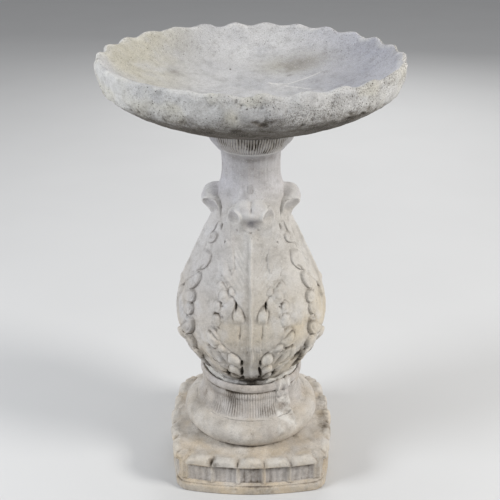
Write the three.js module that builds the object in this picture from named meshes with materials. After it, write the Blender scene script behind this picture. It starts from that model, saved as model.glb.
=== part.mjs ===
// A cast-stone bird bath in three castings: a square base with a beaded ring on top, a pear-shaped
// baluster carved with four acanthus leaves, and a shallow bowl with a scalloped rim.
// Millimetres, +Z up, origin on the ground under the middle of the base, front towards -Y.
import * as THREE from "three";

// Overall sizes
const TOTAL_HEIGHT = 762;
const RIM_RADIUS = 247;
const BASE_HALF_SIDE = 148; // middle of a side, from the axis
const BASE_CORNER = 131; // x and y of a corner: each side bows outwards
const SEAT_Z = 186; // floor of the dish on top of the base
const COLLAR_TOP = 650; // top of the baluster, which carries the bowl
const FIT_GAP = 0.3; // clearance between neighbouring solids

// What holds the castings together
const MORTAR_THICKNESS = 4;
const MORTAR_RADIUS = 80;
const BALUSTER_FOOT = SEAT_Z + MORTAR_THICKNESS + 2 * FIT_GAP;
const DOWEL_RADIUS = 8;
const DOWEL_HOLE_RADIUS = 8.6;
const DOWEL_DEPTH = 60; // hole in the base, and the same in the baluster
const PIN_RADIUS = 8;
const PIN_HOLE_RADIUS = 8.3; // in the baluster
const PIN_SOCKET_RADIUS = 9; // in the bowl
const PIN_DEPTH = 40; // below the collar's top
const PIN_STAND = 20; // above it
const END_PLAY = 1; // space past the end of a rod in its hole
const BOWL_SEAT = COLLAR_TOP + FIT_GAP;

// Facets round each casting: whole numbers of scallops, leaves and corners
const SCALLOPS = 26;
const BOWL_FACETS = SCALLOPS * 4;
const BALUSTER_FACETS = 64;
const BASE_FACETS = 96;
const ROD_FACETS = 24;

const QUARTER = Math.PI / 2;
const { lerp, smoothstep, degToRad } = THREE.MathUtils;

const group = new THREE.Group();

function addPart(name, geometry, color, roughness, metalness) {
  const material = new THREE.MeshStandardMaterial({ color, roughness, metalness });
  const mesh = new THREE.Mesh(geometry, material);
  mesh.name = name;
  group.add(mesh);
}

const point = (radius, height) => new THREE.Vector2(radius, height);

// Points along a smooth curve through the given ones.
const smooth = (points, divisions) => new THREE.SplineCurve(points).getPoints(divisions);

// Points along an upright elliptical bulge, from an angle below its equator to one above it.
function bulge(centre, halfWidth, halfHeight, from, to, divisions) {
  const { x, y } = centre;
  return new THREE.EllipseCurve(x, y, halfWidth, halfHeight, from, to).getPoints(divisions);
}

// A closed solid of revolution about Z. Its outline starts and ends on the axis, going round outside.
const turned = (outline, facets) => new THREE.LatheGeometry(outline, facets).rotateX(QUARTER);

// Moves the vertices of a turned solid: move(angle, radius, z) returns the new [radius, z].
function carve(geometry, move) {
  const at = geometry.getAttribute("position");
  for (let i = 0; i < at.count; i++) {
    const radius = Math.hypot(at.getX(i), at.getY(i));
    if (radius < 1) continue;
    const [newRadius, newZ] = move(Math.atan2(at.getY(i), at.getX(i)), radius, at.getZ(i));
    const stretch = newRadius / radius;
    at.setXYZ(i, at.getX(i) * stretch, at.getY(i) * stretch, newZ);
  }
  return geometry;
}

// The angle from the nearest of the four directions +X, +Y, -X and -Y, up to 45 degrees either way.
const angleFromAxis = (angle) => angle - QUARTER * Math.round(angle / QUARTER);

// ---- Base: plinth, band of leaf lobes, torus, ribbed neck and dished ring ----

const BAND_LOBES = 5; // on each side
const LOBE_PITCH = 49;
const LOBE_RELIEF = 7;
const TORUS_CENTRE = point(98, 102);
const TORUS_SECTION = 24.5;
const TORUS_FOOT = 78; // height where the band's top runs in under the torus
const RING_CENTRE = point(86, 186);
const RING_SECTION = point(6.8, 8); // half its width and half its height

// Radius of a square whose sides bow outwards, as a multiple of its radius at mid-side.
function bowedSquare(angle) {
  const slope = Math.abs(Math.tan(angleFromAxis(angle)));
  const bow = ((BASE_HALF_SIDE - BASE_CORNER) * slope ** 2) / BASE_CORNER ** 2;
  const discriminant = Math.sqrt(1 + 4 * bow * BASE_HALF_SIDE);
  const forward = (2 * BASE_HALF_SIDE) / (1 + discriminant);
  return (forward * Math.hypot(1, slope)) / BASE_HALF_SIDE;
}

// How far the leaf band stands out: full in the middle of a lobe, nothing between two lobes.
function lobeRelief(angle, radius) {
  const across = Math.abs(Math.sin(angleFromAxis(angle)) * radius) / LOBE_PITCH;
  if (across > BAND_LOBES / 2) return 0;
  return LOBE_RELIEF * Math.sqrt(Math.abs(Math.cos(Math.PI * across)));
}

function baseGeometry() {
  const side = BASE_HALF_SIDE;
  const holeFloor = SEAT_Z - DOWEL_DEPTH - END_PLAY;
  const outline = [
    point(0, 0),
    point(side - 2, 0),
    point(side, 3),
    point(side, 13),
    point(side - 6, 21),
    point(side - 7, 50),
    point(side - 1, 57),
    point(side, 63),
    point(side - 5, 71),
    point(side - 21, 75),
    point(TORUS_CENTRE.x + 14, TORUS_FOOT),
    ...bulge(TORUS_CENTRE, TORUS_SECTION, TORUS_SECTION, -0.2 * Math.PI, QUARTER, 6),
    point(93.5, 130),
    point(92, 148),
    point(86, 160),
    point(84, 175),
    ...bulge(RING_CENTRE, RING_SECTION.x, RING_SECTION.y, -0.4 * Math.PI, 0.7 * Math.PI, 5),
    point(MORTAR_RADIUS, SEAT_Z),
    point(DOWEL_HOLE_RADIUS, SEAT_Z),
    point(DOWEL_HOLE_RADIUS, holeFloor),
    point(0, holeFloor),
  ];
  const torusRadius = TORUS_CENTRE.x + TORUS_SECTION;
  return carve(turned(outline, BASE_FACETS), (angle, radius, z) => {
    if (z >= TORUS_FOOT) return [radius, z];
    const squareness = smoothstep(radius, torusRadius - 10, side - 12);
    const onBand = smoothstep(z, 50, 58) * smoothstep(radius, torusRadius, side - 5);
    const relief = onBand * lobeRelief(angle, radius);
    return [radius * lerp(1, bowedSquare(angle), squareness) + relief, z + relief / 2];
  });
}

// ---- Baluster: pear-shaped body, four leaves with curled tips, neck and flared collar ----

const LEAF_THICKNESS = 5;
const LEAF_LOBE_PITCH = 34; // height of one lobe along a leaf's edge
const CURL_Z = 517; // where a leaf's curled tip stands out most
const CURL_REACH = 22;
const CURL_HALF_ANGLE = degToRad(31);
const CURL_ABOVE = 25;
const CURL_BELOW = 36;

// Half the angle that a leaf covers at height z, with its row of rounded lobes.
function leafHalfAngle(z) {
  const lobe = Math.abs(Math.sin((Math.PI * (z - 190)) / LEAF_LOBE_PITCH));
  return degToRad(30 + 9 * smoothstep(z, 200, 300) + 4 * lobe);
}

// How far the carving stands out of the plain body.
function leafRelief(angle, z) {
  const across = Math.abs(angleFromAxis(angle));
  const onLeaf = smoothstep(leafHalfAngle(z) - across, -0.05, 0.05);
  const upright = (z - CURL_Z) / (z > CURL_Z ? CURL_ABOVE : CURL_BELOW);
  const curl = Math.sqrt(Math.max(0, 1 - Math.hypot(across / CURL_HALF_ANGLE, upright) ** 2));
  const ends = smoothstep(z, 196, 215) * (1 - smoothstep(z, 480, 505));
  return LEAF_THICKNESS * onLeaf * ends + CURL_REACH * curl;
}

function balusterGeometry() {
  const pear = [
    point(77, BALUSTER_FOOT), point(79, 198), point(89, 212), point(108, 244), point(128, 290),
    point(127, 324), point(116, 370), point(91, 427), point(72, 472), point(63, 500),
    point(59, 530), point(49, 562), point(48.5, 587), point(56, 600), point(68, 621),
    point(76, 640), point(78, COLLAR_TOP),
  ];
  const dowelHoleTop = BALUSTER_FOOT + DOWEL_DEPTH + END_PLAY;
  const pinHoleFloor = COLLAR_TOP - PIN_DEPTH - END_PLAY;
  const outline = [
    point(0, dowelHoleTop),
    point(DOWEL_HOLE_RADIUS, dowelHoleTop),
    point(DOWEL_HOLE_RADIUS, BALUSTER_FOOT),
    ...smooth(pear, 32),
    point(PIN_HOLE_RADIUS, COLLAR_TOP),
    point(PIN_HOLE_RADIUS, pinHoleFloor),
    point(0, pinHoleFloor),
  ];
  return carve(turned(outline, BALUSTER_FACETS), (angle, radius, z) => {
    const inHole = radius <= DOWEL_HOLE_RADIUS;
    return [inHole ? radius : radius + leafRelief(angle, z), z];
  });
}

// ---- Bowl: seat, convex underside, stepped groove, wall, scalloped rim and basin ----

const SEAT_RADIUS = 76;
const BASIN_FLOOR = 692;
const SCALLOP_DROP = 7; // how far the rim dips between two scallops
const SCALLOP_BITE = 4; // how far it draws in there

function bowlGeometry() {
  const socketTop = BOWL_SEAT + PIN_STAND + END_PLAY;
  const outline = [
    point(0, socketTop),
    point(PIN_SOCKET_RADIUS, socketTop),
    point(PIN_SOCKET_RADIUS, BOWL_SEAT),
    point(SEAT_RADIUS, BOWL_SEAT),
    ...smooth([point(100, 657), point(155, 672), point(195, 688), point(229, 707)], 5),
    ...smooth([point(235, 711), point(241, 728), point(RIM_RADIUS, 750)], 3),
    ...smooth([point(RIM_RADIUS - 3, TOTAL_HEIGHT - 2), point(RIM_RADIUS - 10, TOTAL_HEIGHT)], 1),
    ...smooth([point(226, 747), point(195, 722), point(150, 706), point(80, BASIN_FLOOR + 2)], 5),
    point(0, BASIN_FLOOR),
  ];
  return carve(turned(outline, BOWL_FACETS), (angle, radius, z) => {
    const between = 1 - Math.abs(Math.cos((SCALLOPS * angle) / 2));
    const nearRim = smoothstep(z, 718, TOTAL_HEIGHT - 4) * smoothstep(radius, 190, RIM_RADIUS - 10);
    return [radius - SCALLOP_BITE * between * nearRim, z - SCALLOP_DROP * between * nearRim];
  });
}

// ---- Mortar bed, dowel and locating pin ----

// A flat ring of mortar round the dowel, with its outer top edge rounded off.
function mortarGeometry() {
  const bottom = SEAT_Z + FIT_GAP;
  const top = bottom + MORTAR_THICKNESS;
  return turned(
    [
      point(DOWEL_HOLE_RADIUS, bottom),
      point(MORTAR_RADIUS - FIT_GAP, bottom),
      point(MORTAR_RADIUS - FIT_GAP, top - 1),
      point(MORTAR_RADIUS - 1, top),
      point(DOWEL_HOLE_RADIUS, top),
      point(DOWEL_HOLE_RADIUS, bottom),
    ],
    BALUSTER_FACETS,
  );
}

// A round rod with chamfered ends.
function rodGeometry(radius, bottom, top) {
  const chamfer = 1.5;
  return turned(
    [
      point(0, bottom),
      point(radius - chamfer, bottom),
      point(radius, bottom + chamfer),
      point(radius, top - chamfer),
      point(radius - chamfer, top),
      point(0, top),
    ],
    ROD_FACETS,
  );
}

const dowelBottom = SEAT_Z - DOWEL_DEPTH;
const dowelTop = BALUSTER_FOOT + DOWEL_DEPTH;
const pinBottom = COLLAR_TOP - PIN_DEPTH;
const pinTop = COLLAR_TOP + PIN_STAND;

addPart("base", baseGeometry(), 0xcbbfa9, 0.92, 0);
addPart("mortar_bed", mortarGeometry(), 0xb9b4a8, 0.95, 0);
addPart("lower_dowel", rodGeometry(DOWEL_RADIUS, dowelBottom, dowelTop), 0x8f9194, 0.5, 0.9);
addPart("baluster", balusterGeometry(), 0xcfc6b6, 0.92, 0);
addPart("bowl_pin", rodGeometry(PIN_RADIUS, pinBottom, pinTop), 0xa7a9ab, 0.4, 0.9);
addPart("bowl", bowlGeometry(), 0xd2ccc0, 0.9, 0);

export default group;
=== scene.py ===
"""A weathered cast-stone bird bath: bowl, carved baluster, base and mortar, built round the CAD frame.

Shapes are worked out in millimetres and become metres when a mesh is made.
"""

import math

import bpy
import numpy as np
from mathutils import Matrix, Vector


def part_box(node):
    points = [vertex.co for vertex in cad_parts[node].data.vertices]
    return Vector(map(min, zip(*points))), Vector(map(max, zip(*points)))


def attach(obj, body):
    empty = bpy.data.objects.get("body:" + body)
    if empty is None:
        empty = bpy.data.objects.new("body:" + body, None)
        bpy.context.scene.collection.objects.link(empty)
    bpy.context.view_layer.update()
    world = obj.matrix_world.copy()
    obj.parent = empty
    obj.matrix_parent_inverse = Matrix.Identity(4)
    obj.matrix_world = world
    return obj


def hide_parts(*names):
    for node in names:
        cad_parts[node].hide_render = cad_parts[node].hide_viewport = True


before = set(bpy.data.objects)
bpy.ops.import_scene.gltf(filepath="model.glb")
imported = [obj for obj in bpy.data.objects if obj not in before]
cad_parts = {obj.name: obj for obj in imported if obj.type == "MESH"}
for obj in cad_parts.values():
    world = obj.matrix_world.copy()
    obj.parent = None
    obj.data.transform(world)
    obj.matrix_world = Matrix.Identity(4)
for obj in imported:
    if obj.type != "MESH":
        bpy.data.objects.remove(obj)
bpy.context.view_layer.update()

MM = 0.001
FRONT = -math.pi / 2  # the direction of -Y


def size_of(node):
    """A CAD node's lowest and highest corners, in millimetres."""
    low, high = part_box(node)
    return np.array(low) / MM, np.array(high) / MM


baluster_low, baluster_high = size_of("baluster")
bowl_low, bowl_high = size_of("bowl")

FOOT_Z = baluster_low[2]
COLLAR_Z = baluster_high[2]
SEAT_Z = bowl_low[2]
RIM_Z = bowl_high[2]
RIM_RADIUS = bowl_high[0]
RING_TOP_Z = size_of("base")[1][2]
DOWEL_HOLE_RADIUS = 8.6
DOWEL_HOLE_DEPTH = 61  # into the baluster and into the base


# ---- Numbers on grids ----

def smoothstep(low, high, value):
    t = np.clip((value - low) / (high - low), 0, 1)
    return t * t * (3 - 2 * t)


def bell(value, width):
    return np.exp(-((value / width) ** 2))


def lattice(x, y, z, seed):
    """A repeatable random number from -1 to 1 for each whole-number point."""
    mixed = (x * 374761393 + y * 668265263 + z * 974634777 + seed * 83492791) & 0xFFFFFFFF
    mixed = ((mixed ^ (mixed >> 13)) * 1274126177) & 0xFFFFFFFF
    return ((mixed ^ (mixed >> 16)) & 0xFFFF) / 32767.5 - 1


def noise(points, lump, seed):
    """Smooth noise from about -1 to 1, with lumps about `lump` mm across, at points (..., 3)."""
    cell = points / lump
    corner = np.floor(cell).astype(np.int64)
    part = cell - corner
    part = part * part * (3 - 2 * part)
    total = 0
    for dx in (0, 1):
        for dy in (0, 1):
            for dz in (0, 1):
                share = 1
                for axis, step in enumerate((dx, dy, dz)):
                    share = share * (part[..., axis] if step else 1 - part[..., axis])
                x, y, z = corner[..., 0] + dx, corner[..., 1] + dy, corner[..., 2] + dz
                total = total + share * lattice(x, y, z, seed)
    return total


def rough(points, lump, seed, octaves=3):
    """Noise with finer and weaker layers added."""
    return sum(noise(points, lump / 2**i, seed + i) / 2**i for i in range(octaves))


# ---- Outlines: (radius, height) points in order from the axis, round the outside, to the axis ----

def line(points, step):
    """Straight stretches through the points, cut into pieces of about `step` mm."""
    points = np.array(points, float)
    pieces = [points[:1]]
    for start, end in zip(points[:-1], points[1:]):
        count = max(1, round(np.linalg.norm(end - start) / step))
        share = np.linspace(0, 1, count + 1)[1:, None]
        pieces.append(start + (end - start) * share)
    return np.concatenate(pieces)


def curve(points, step):
    """A smooth curve through the points (Catmull-Rom), cut into pieces of about `step` mm."""
    points = np.array(points, float)
    padded = np.concatenate([2 * points[:1] - points[1:2], points, 2 * points[-1:] - points[-2:-1]])
    fine = []
    for a, b, c, d in zip(padded[:-3], padded[1:-2], padded[2:-1], padded[3:]):
        t = np.linspace(0, 1, 24, endpoint=False)[:, None]
        bend = 2 * a - 5 * b + 4 * c - d
        twist = 3 * b - a - 3 * c + d
        fine.append(0.5 * (2 * b + (c - a) * t + bend * t**2 + twist * t**3))
    fine = np.concatenate(fine + [points[-1:]])
    along = np.concatenate([[0], np.cumsum(np.linalg.norm(np.diff(fine, axis=0), axis=1))])
    at = np.linspace(0, along[-1], max(2, round(along[-1] / step) + 1))
    return np.stack([np.interp(at, along, fine[:, 0]), np.interp(at, along, fine[:, 1])], 1)


def bulge(centre, half_width, half_height, start, end, step):
    """Part of an upright ellipse, from one angle in degrees to another."""
    count = max(2, round(math.radians(end - start) * half_height / step))
    angles = np.radians(np.linspace(start, end, count))
    return np.stack([centre[0] + half_width * np.cos(angles), centre[1] + half_height * np.sin(angles)], 1)


def join(*stretches):
    """One outline, without the points that repeat where two stretches meet."""
    points = np.concatenate(stretches)
    keep = np.concatenate([[True], np.linalg.norm(np.diff(points, axis=0), axis=1) > 1e-3])
    return points[keep]


def from_front(angle):
    """Degrees from the front, from -180 to 180 and growing to the right."""
    return np.degrees(np.arctan2(np.sin(angle - FRONT), np.cos(angle - FRONT)))


class Turned:
    """A turned casting as a grid: one row for each outline point, one column for each direction."""

    def __init__(self, outline, columns):
        self.outline = outline
        directions = FRONT + np.arange(columns) * 2 * math.pi / columns
        self.angle = np.broadcast_to(directions, (len(outline), columns))
        self.radius = np.repeat(outline[:, :1], columns, 1)
        self.z = np.repeat(outline[:, 1:], columns, 1)
        slope = np.gradient(outline, axis=0)
        slope /= np.linalg.norm(slope, axis=1, keepdims=True) + 1e-9
        self.normal_radius = slope[:, 1:]
        self.normal_z = -slope[:, :1]
        self.marks = {}

    def points(self):
        return np.stack([self.radius * np.cos(self.angle), self.radius * np.sin(self.angle), self.z], -1)

    def push(self, amount):
        """Moves the surface along its outline's normal."""
        self.radius = self.radius + self.normal_radius * amount
        self.z = self.z + self.normal_z * amount

    def mark(self, name, value):
        """Keeps a value from 0 to 1 for each point, which the stone material reads."""
        self.marks[name] = np.clip(np.broadcast_to(value, self.z.shape), 0, 1)

    def build(self, name, body, node, slot, material):
        """A closed smooth mesh that rides on a body and stands for a CAD node."""
        rows, columns = self.z.shape
        ends = [(0, 0, self.z[0].mean()), (0, 0, self.z[-1].mean())]
        vertices = np.concatenate([ends[:1], self.points()[1:-1].reshape(-1, 3), ends[1:]])
        index = 1 + np.arange((rows - 2) * columns).reshape(rows - 2, columns)
        beside = np.roll(index, -1, 1)
        quads = np.stack([index[:-1], beside[:-1], beside[1:], index[1:]], -1).reshape(-1, 4)
        last = len(vertices) - 1
        fans = [(0, b, a) for a, b in zip(index[0], beside[0])]
        fans += [(last, a, b) for a, b in zip(index[-1], beside[-1])]
        marks = {mark: np.concatenate([value[0, :1], value[1:-1].ravel(), value[-1, :1]])
                 for mark, value in self.marks.items()}
        return casting(name, vertices, quads.tolist() + fans, marks, body, node, material)


def casting(name, vertices, faces, marks, body, node, material):
    """A smooth mesh from points in mm, with a value for each point in each mark, riding for a CAD node."""
    mesh = bpy.data.meshes.new(name)
    mesh.from_pydata((vertices * MM).tolist(), [], faces)
    mesh.polygons.foreach_set("use_smooth", np.ones(len(mesh.polygons), bool))
    for mark, value in marks.items():
        mesh.attributes.new(mark, "FLOAT", "POINT").data.foreach_set("value", value.astype(np.float32))
    mesh.materials.append(material)
    piece = bpy.data.objects.new(name, mesh)
    bpy.context.scene.collection.objects.link(piece)
    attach(piece, body)
    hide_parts(node)
    return piece


# ---- Materials ----

class Nodes:
    """A short way to write a material's node tree."""

    def __init__(self, name):
        self.material = bpy.data.materials.new(name)
        self.material.use_nodes = True
        self.tree = self.material.node_tree
        self.shader = self.tree.nodes["Principled BSDF"]
        self.place = self.add("ShaderNodeTexCoord").outputs["Object"]

    def add(self, kind, inputs=(), **settings):
        node = self.tree.nodes.new(kind)
        for key, value in settings.items():
            setattr(node, key, value)
        for key, value in dict(inputs).items():
            self.feed(node.inputs[key], value)
        return node

    def feed(self, socket, value):
        if isinstance(value, bpy.types.NodeSocket):
            self.tree.links.new(value, socket)
        else:
            socket.default_value = value

    def math(self, operation, a, b=0.0):
        return self.add("ShaderNodeMath", {0: a, 1: b}, operation=operation).outputs[0]

    def mark(self, name):
        return self.add("ShaderNodeAttribute", attribute_name=name).outputs["Fac"]

    def noise(self, size, detail=4.0, stretch=(1, 1, 1)):
        """Noise from 0 to 1 with lumps about `size` mm across."""
        place = self.add("ShaderNodeMapping", {"Vector": self.place, "Scale": stretch}).outputs[0]
        inputs = {"Vector": place, "Scale": 1 / (size * MM), "Detail": detail, "Roughness": 0.6}
        return self.add("ShaderNodeTexNoise", inputs).outputs["Fac"]

    def spots(self, size, radius, share):
        """Round spots in cells about `size` mm across, each `radius` of its cell, as strong as the share."""
        inputs = {"Vector": self.place, "Scale": 1 / (size * MM), "Randomness": 1.0}
        distance = self.add("ShaderNodeTexVoronoi", inputs).outputs["Distance"]
        return self.math("MULTIPLY", self.ramp(distance, radius, radius * 0.5), share)

    def ramp(self, value, low, high):
        """Smoothly 0 at low and 1 at high."""
        inputs = {"Value": value, "From Min": low, "From Max": high}
        return self.add("ShaderNodeMapRange", inputs, interpolation_type="SMOOTHSTEP").outputs[0]

    def mix(self, share, a, b):
        inputs = {0: share, 6: a, 7: b}
        return self.add("ShaderNodeMix", inputs, data_type="RGBA").outputs[2]

    def bump(self, height, distance, strength, normal=None):
        inputs = {"Height": height, "Distance": distance * MM, "Strength": strength}
        if normal is not None:
            inputs["Normal"] = normal
        return self.add("ShaderNodeBump", inputs).outputs[0]


def colour(red, green, blue):
    """A linear colour from the 0 to 255 values that a screen shows."""
    def linear(value):
        value /= 255
        return value / 12.92 if value <= 0.04045 else ((value + 0.055) / 1.055) ** 2.4
    return (linear(red), linear(green), linear(blue), 1.0)


def stone(name, pale, grey, warm, grime, grain=1.0):
    """Weathered cast stone. The meshes' marks say where it is warm, cool, shaded, dirty, pitted or pale.
    Besides real colour, the marks carry painted light: painted shade in crevices, holes and under overhangs,
    painted highlights on ridges and rims, and warm and cool painted light on the sides turned to the warm
    and the cool lamp.
    """
    n = Nodes(name)
    tone = n.mix(n.ramp(n.noise(90, 5), 0.35, 0.7), pale, grey)
    # The warm and cool marks hold real tints and also painted light: warm on faces turned to the warm lamp,
    # cool on faces turned to the cool lamp and in painted shadow.
    tone = n.mix(n.math("MULTIPLY", n.mark("warm"), n.ramp(n.noise(45), 0.2, 0.6)), tone, warm)
    tone = n.mix(n.mark("cool"), tone, colour(172, 174, 194))
    tone = n.mix(n.math("MULTIPLY", n.ramp(n.noise(15, 6), 0.42, 0.8), 0.34), tone, grime)
    shade = n.math("MULTIPLY", n.mark("shade"), n.math("ADD", 0.5, n.noise(14, 5)))
    tone = n.mix(shade, tone, n.mix(0.6, grime, colour(120, 116, 114)))
    sand = n.math("MULTIPLY", n.ramp(n.noise(1.7, 3), 0.45, 0.75), 0.36 * grain)
    tone = n.mix(sand, tone, colour(118, 112, 104))
    tone = n.mix(n.math("MULTIPLY", n.ramp(n.noise(3.1, 3), 0.52, 0.78), 0.35), tone, colour(224, 222, 216))
    # The pale mark lightens real straws, clean mortar and smears, and also paints highlights on rims, ribs,
    # ridges and curls.
    tone = n.mix(n.mark("pale"), tone, colour(222, 220, 214))
    pitted = n.mark("pitted")
    patchy = n.math("MULTIPLY", n.noise(9, 3), n.math("ADD", pitted, 0.1))
    specks = n.spots(6, 0.2, n.ramp(patchy, 0.1, 0.34))
    tone = n.mix(n.math("MULTIPLY", specks, 0.8), tone, colour(58, 52, 46))
    thick = n.math("MULTIPLY", pitted, n.math("ADD", 0.08, n.math("MULTIPLY", n.noise(12, 4), 0.2)))
    pepper = n.ramp(n.math("ADD", n.noise(1.8, 3), thick), 0.62, 0.8)
    tone = n.mix(n.math("MULTIPLY", pepper, 0.6), tone, colour(88, 80, 70))
    # Grime and painted shade: the dirt_and_shade mark darkens crevices, holes, grooves and what lies under
    # overhangs towards the grime colour.
    dirt_and_shade = n.math("ADD", n.mark("dirt_and_shade"), n.math("MULTIPLY", n.math("SUBTRACT", n.noise(7, 6), 0.5), 0.9))
    dirt_and_shade = n.math("MULTIPLY", n.ramp(dirt_and_shade, 0.15, 1.0), n.ramp(n.mark("dirt_and_shade"), 0.0, 0.15))
    tone = n.mix(dirt_and_shade, tone, grime)
    # Painted shade: nearly black where that mark is strongest, as in holes, deep crevices and under the
    # bowl.
    deep = n.math("MULTIPLY", n.ramp(n.mark("dirt_and_shade"), 0.65, 1.0), n.ramp(n.noise(5), 0.3, 0.6))
    tone = n.mix(n.math("MULTIPLY", deep, 0.75), tone, colour(38, 34, 30))
    chips = n.math("MULTIPLY", n.ramp(n.noise(2.3, 3), 0.55, 0.7), n.math("MULTIPLY", pitted, 0.4))
    tone = n.mix(chips, tone, colour(196, 192, 184))
    n.feed(n.shader.inputs["Base Color"], tone)
    n.feed(n.shader.inputs["Roughness"], n.math("ADD", 0.82, n.math("MULTIPLY", n.noise(6), 0.16)))
    n.feed(n.shader.inputs["Specular IOR Level"], 0.2)
    lumps = n.bump(n.noise(7, 4), 1.2 * grain, 0.6)
    grains = n.bump(n.noise(1.8, 3), 0.7 * grain, 0.7, lumps)
    n.feed(n.shader.inputs["Normal"], n.bump(n.math("ADD", specks, pepper), -1.2, 0.7, grains))
    return n.material


def steel(name, bright, rust_share):
    """Drawn steel with rust blooms."""
    n = Nodes(name)
    drawn = n.noise(0.8, 2, stretch=(1, 1, 0.02))
    rust = n.ramp(n.noise(9, 6), 0.75 - rust_share, 0.85 - rust_share)
    tone = n.mix(n.math("MULTIPLY", drawn, 0.4), bright, colour(96, 97, 100))
    n.feed(n.shader.inputs["Base Color"], n.mix(rust, tone, colour(104, 62, 38)))
    n.feed(n.shader.inputs["Metallic"], n.math("SUBTRACT", 1.0, rust))
    n.feed(n.shader.inputs["Roughness"], n.math("ADD", 0.32, n.math("MULTIPLY", rust, 0.5)))
    n.feed(n.shader.inputs["Normal"], n.bump(n.math("ADD", drawn, rust), 0.15, 0.5))
    return n.material


# ---- Bowl ----

SCALLOPS = 26
BOWL_COLUMNS = SCALLOPS * 20
SEAT_RADIUS = 76
SOCKET_RADIUS = 9
SOCKET_TOP_Z = 671.3
GROOVE_Z = 709
WALL_FOOT = (236.5, 714)
BASIN_FLOOR_Z = 691.5
# The thin pale straws on the basin's floor, by the plan position of their ends.
STRAWS = [((118, 97), (62, 64)), ((62, 64), (32, 70)), ((30, 75), (98, 26))]


def bowl_outline():
    under_edge = (224, 703.5)
    under = curve([(SEAT_RADIUS, SEAT_Z), (104, 653.5), (130, 660.5), (160, 671), (195, 686.5),
                   under_edge], 3.6)
    groove = curve([under_edge, (227.5, 706.3), (229.3, GROOVE_Z), (233, 711), WALL_FOOT], 1.5)
    wall = curve([WALL_FOOT, (241.5, 727), (245.5, 742), (RIM_RADIUS - 0.4, 753)], 1.9)
    lip = curve([(RIM_RADIUS - 0.4, 753), (RIM_RADIUS - 2, 759), (RIM_RADIUS - 6, RIM_Z - 0.3),
                 (RIM_RADIUS - 11, 760), (RIM_RADIUS - 16, 755)], 1.4)
    basin = curve([(RIM_RADIUS - 16, 755), (222, 745), (196, 724), (150, 705.5), (80, 694),
                   (0, BASIN_FLOOR_Z)], 3.2)
    socket = line([(0, SOCKET_TOP_Z), (SOCKET_RADIUS, SOCKET_TOP_Z), (SOCKET_RADIUS, SEAT_Z)], 6)
    seat = line([(SOCKET_RADIUS, SEAT_Z), (SEAT_RADIUS, SEAT_Z)], 7)
    return join(socket, seat, under, groove, wall, lip, basin)


def spot(p, x, y, reach_x, reach_y):
    """1 at a place in plan, fading to 0 over the reaches."""
    return np.exp(-(((p[..., 0] - x) / reach_x) ** 2) - ((p[..., 1] - y) / reach_y) ** 2)


def streak(p, start, end, width):
    """1 on a straight streak between two places in plan, fading over its width."""
    a, b = np.array(start, float), np.array(end, float)
    share = np.clip(((p[..., :2] - a) @ (b - a)) / ((b - a) @ (b - a)), 0, 1)
    return bell(np.linalg.norm(p[..., :2] - a - share[..., None] * (b - a), axis=-1), width)


def scallop_rim(bowl, p, inside):
    """Cuts the valleys between the scallops into the rim, the top of the wall and the basin's edge."""
    r, z = bowl.radius, bowl.z
    turn = from_front(bowl.angle)
    drift = 0.62 * np.cos(bowl.angle - FRONT).clip(0)  # the front scallops sit a little to the left
    valley = 0.5 - 0.5 * np.cos(SCALLOPS * bowl.angle + 2 * drift)
    worn = 1 - 0.8 * smoothstep(-100, -80, turn) * smoothstep(-5, -25, turn)
    between = valley**0.9 * worn * (1 + 0.4 * noise(p, 60, 3))
    reach = np.where(inside, smoothstep(206, 234, r), smoothstep(726, 757, z) * smoothstep(226, 240, r))
    basin_edge = smoothstep(190, 222, r) * smoothstep(236, 222, r)
    bowl.radius = r - 3.6 * between * reach
    bowl.z = z - 5.2 * between * smoothstep(736, 760, z) * smoothstep(196, 236, r)
    bowl.z = bowl.z - np.where(inside, 1.2 * between * basin_edge, 0)


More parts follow.
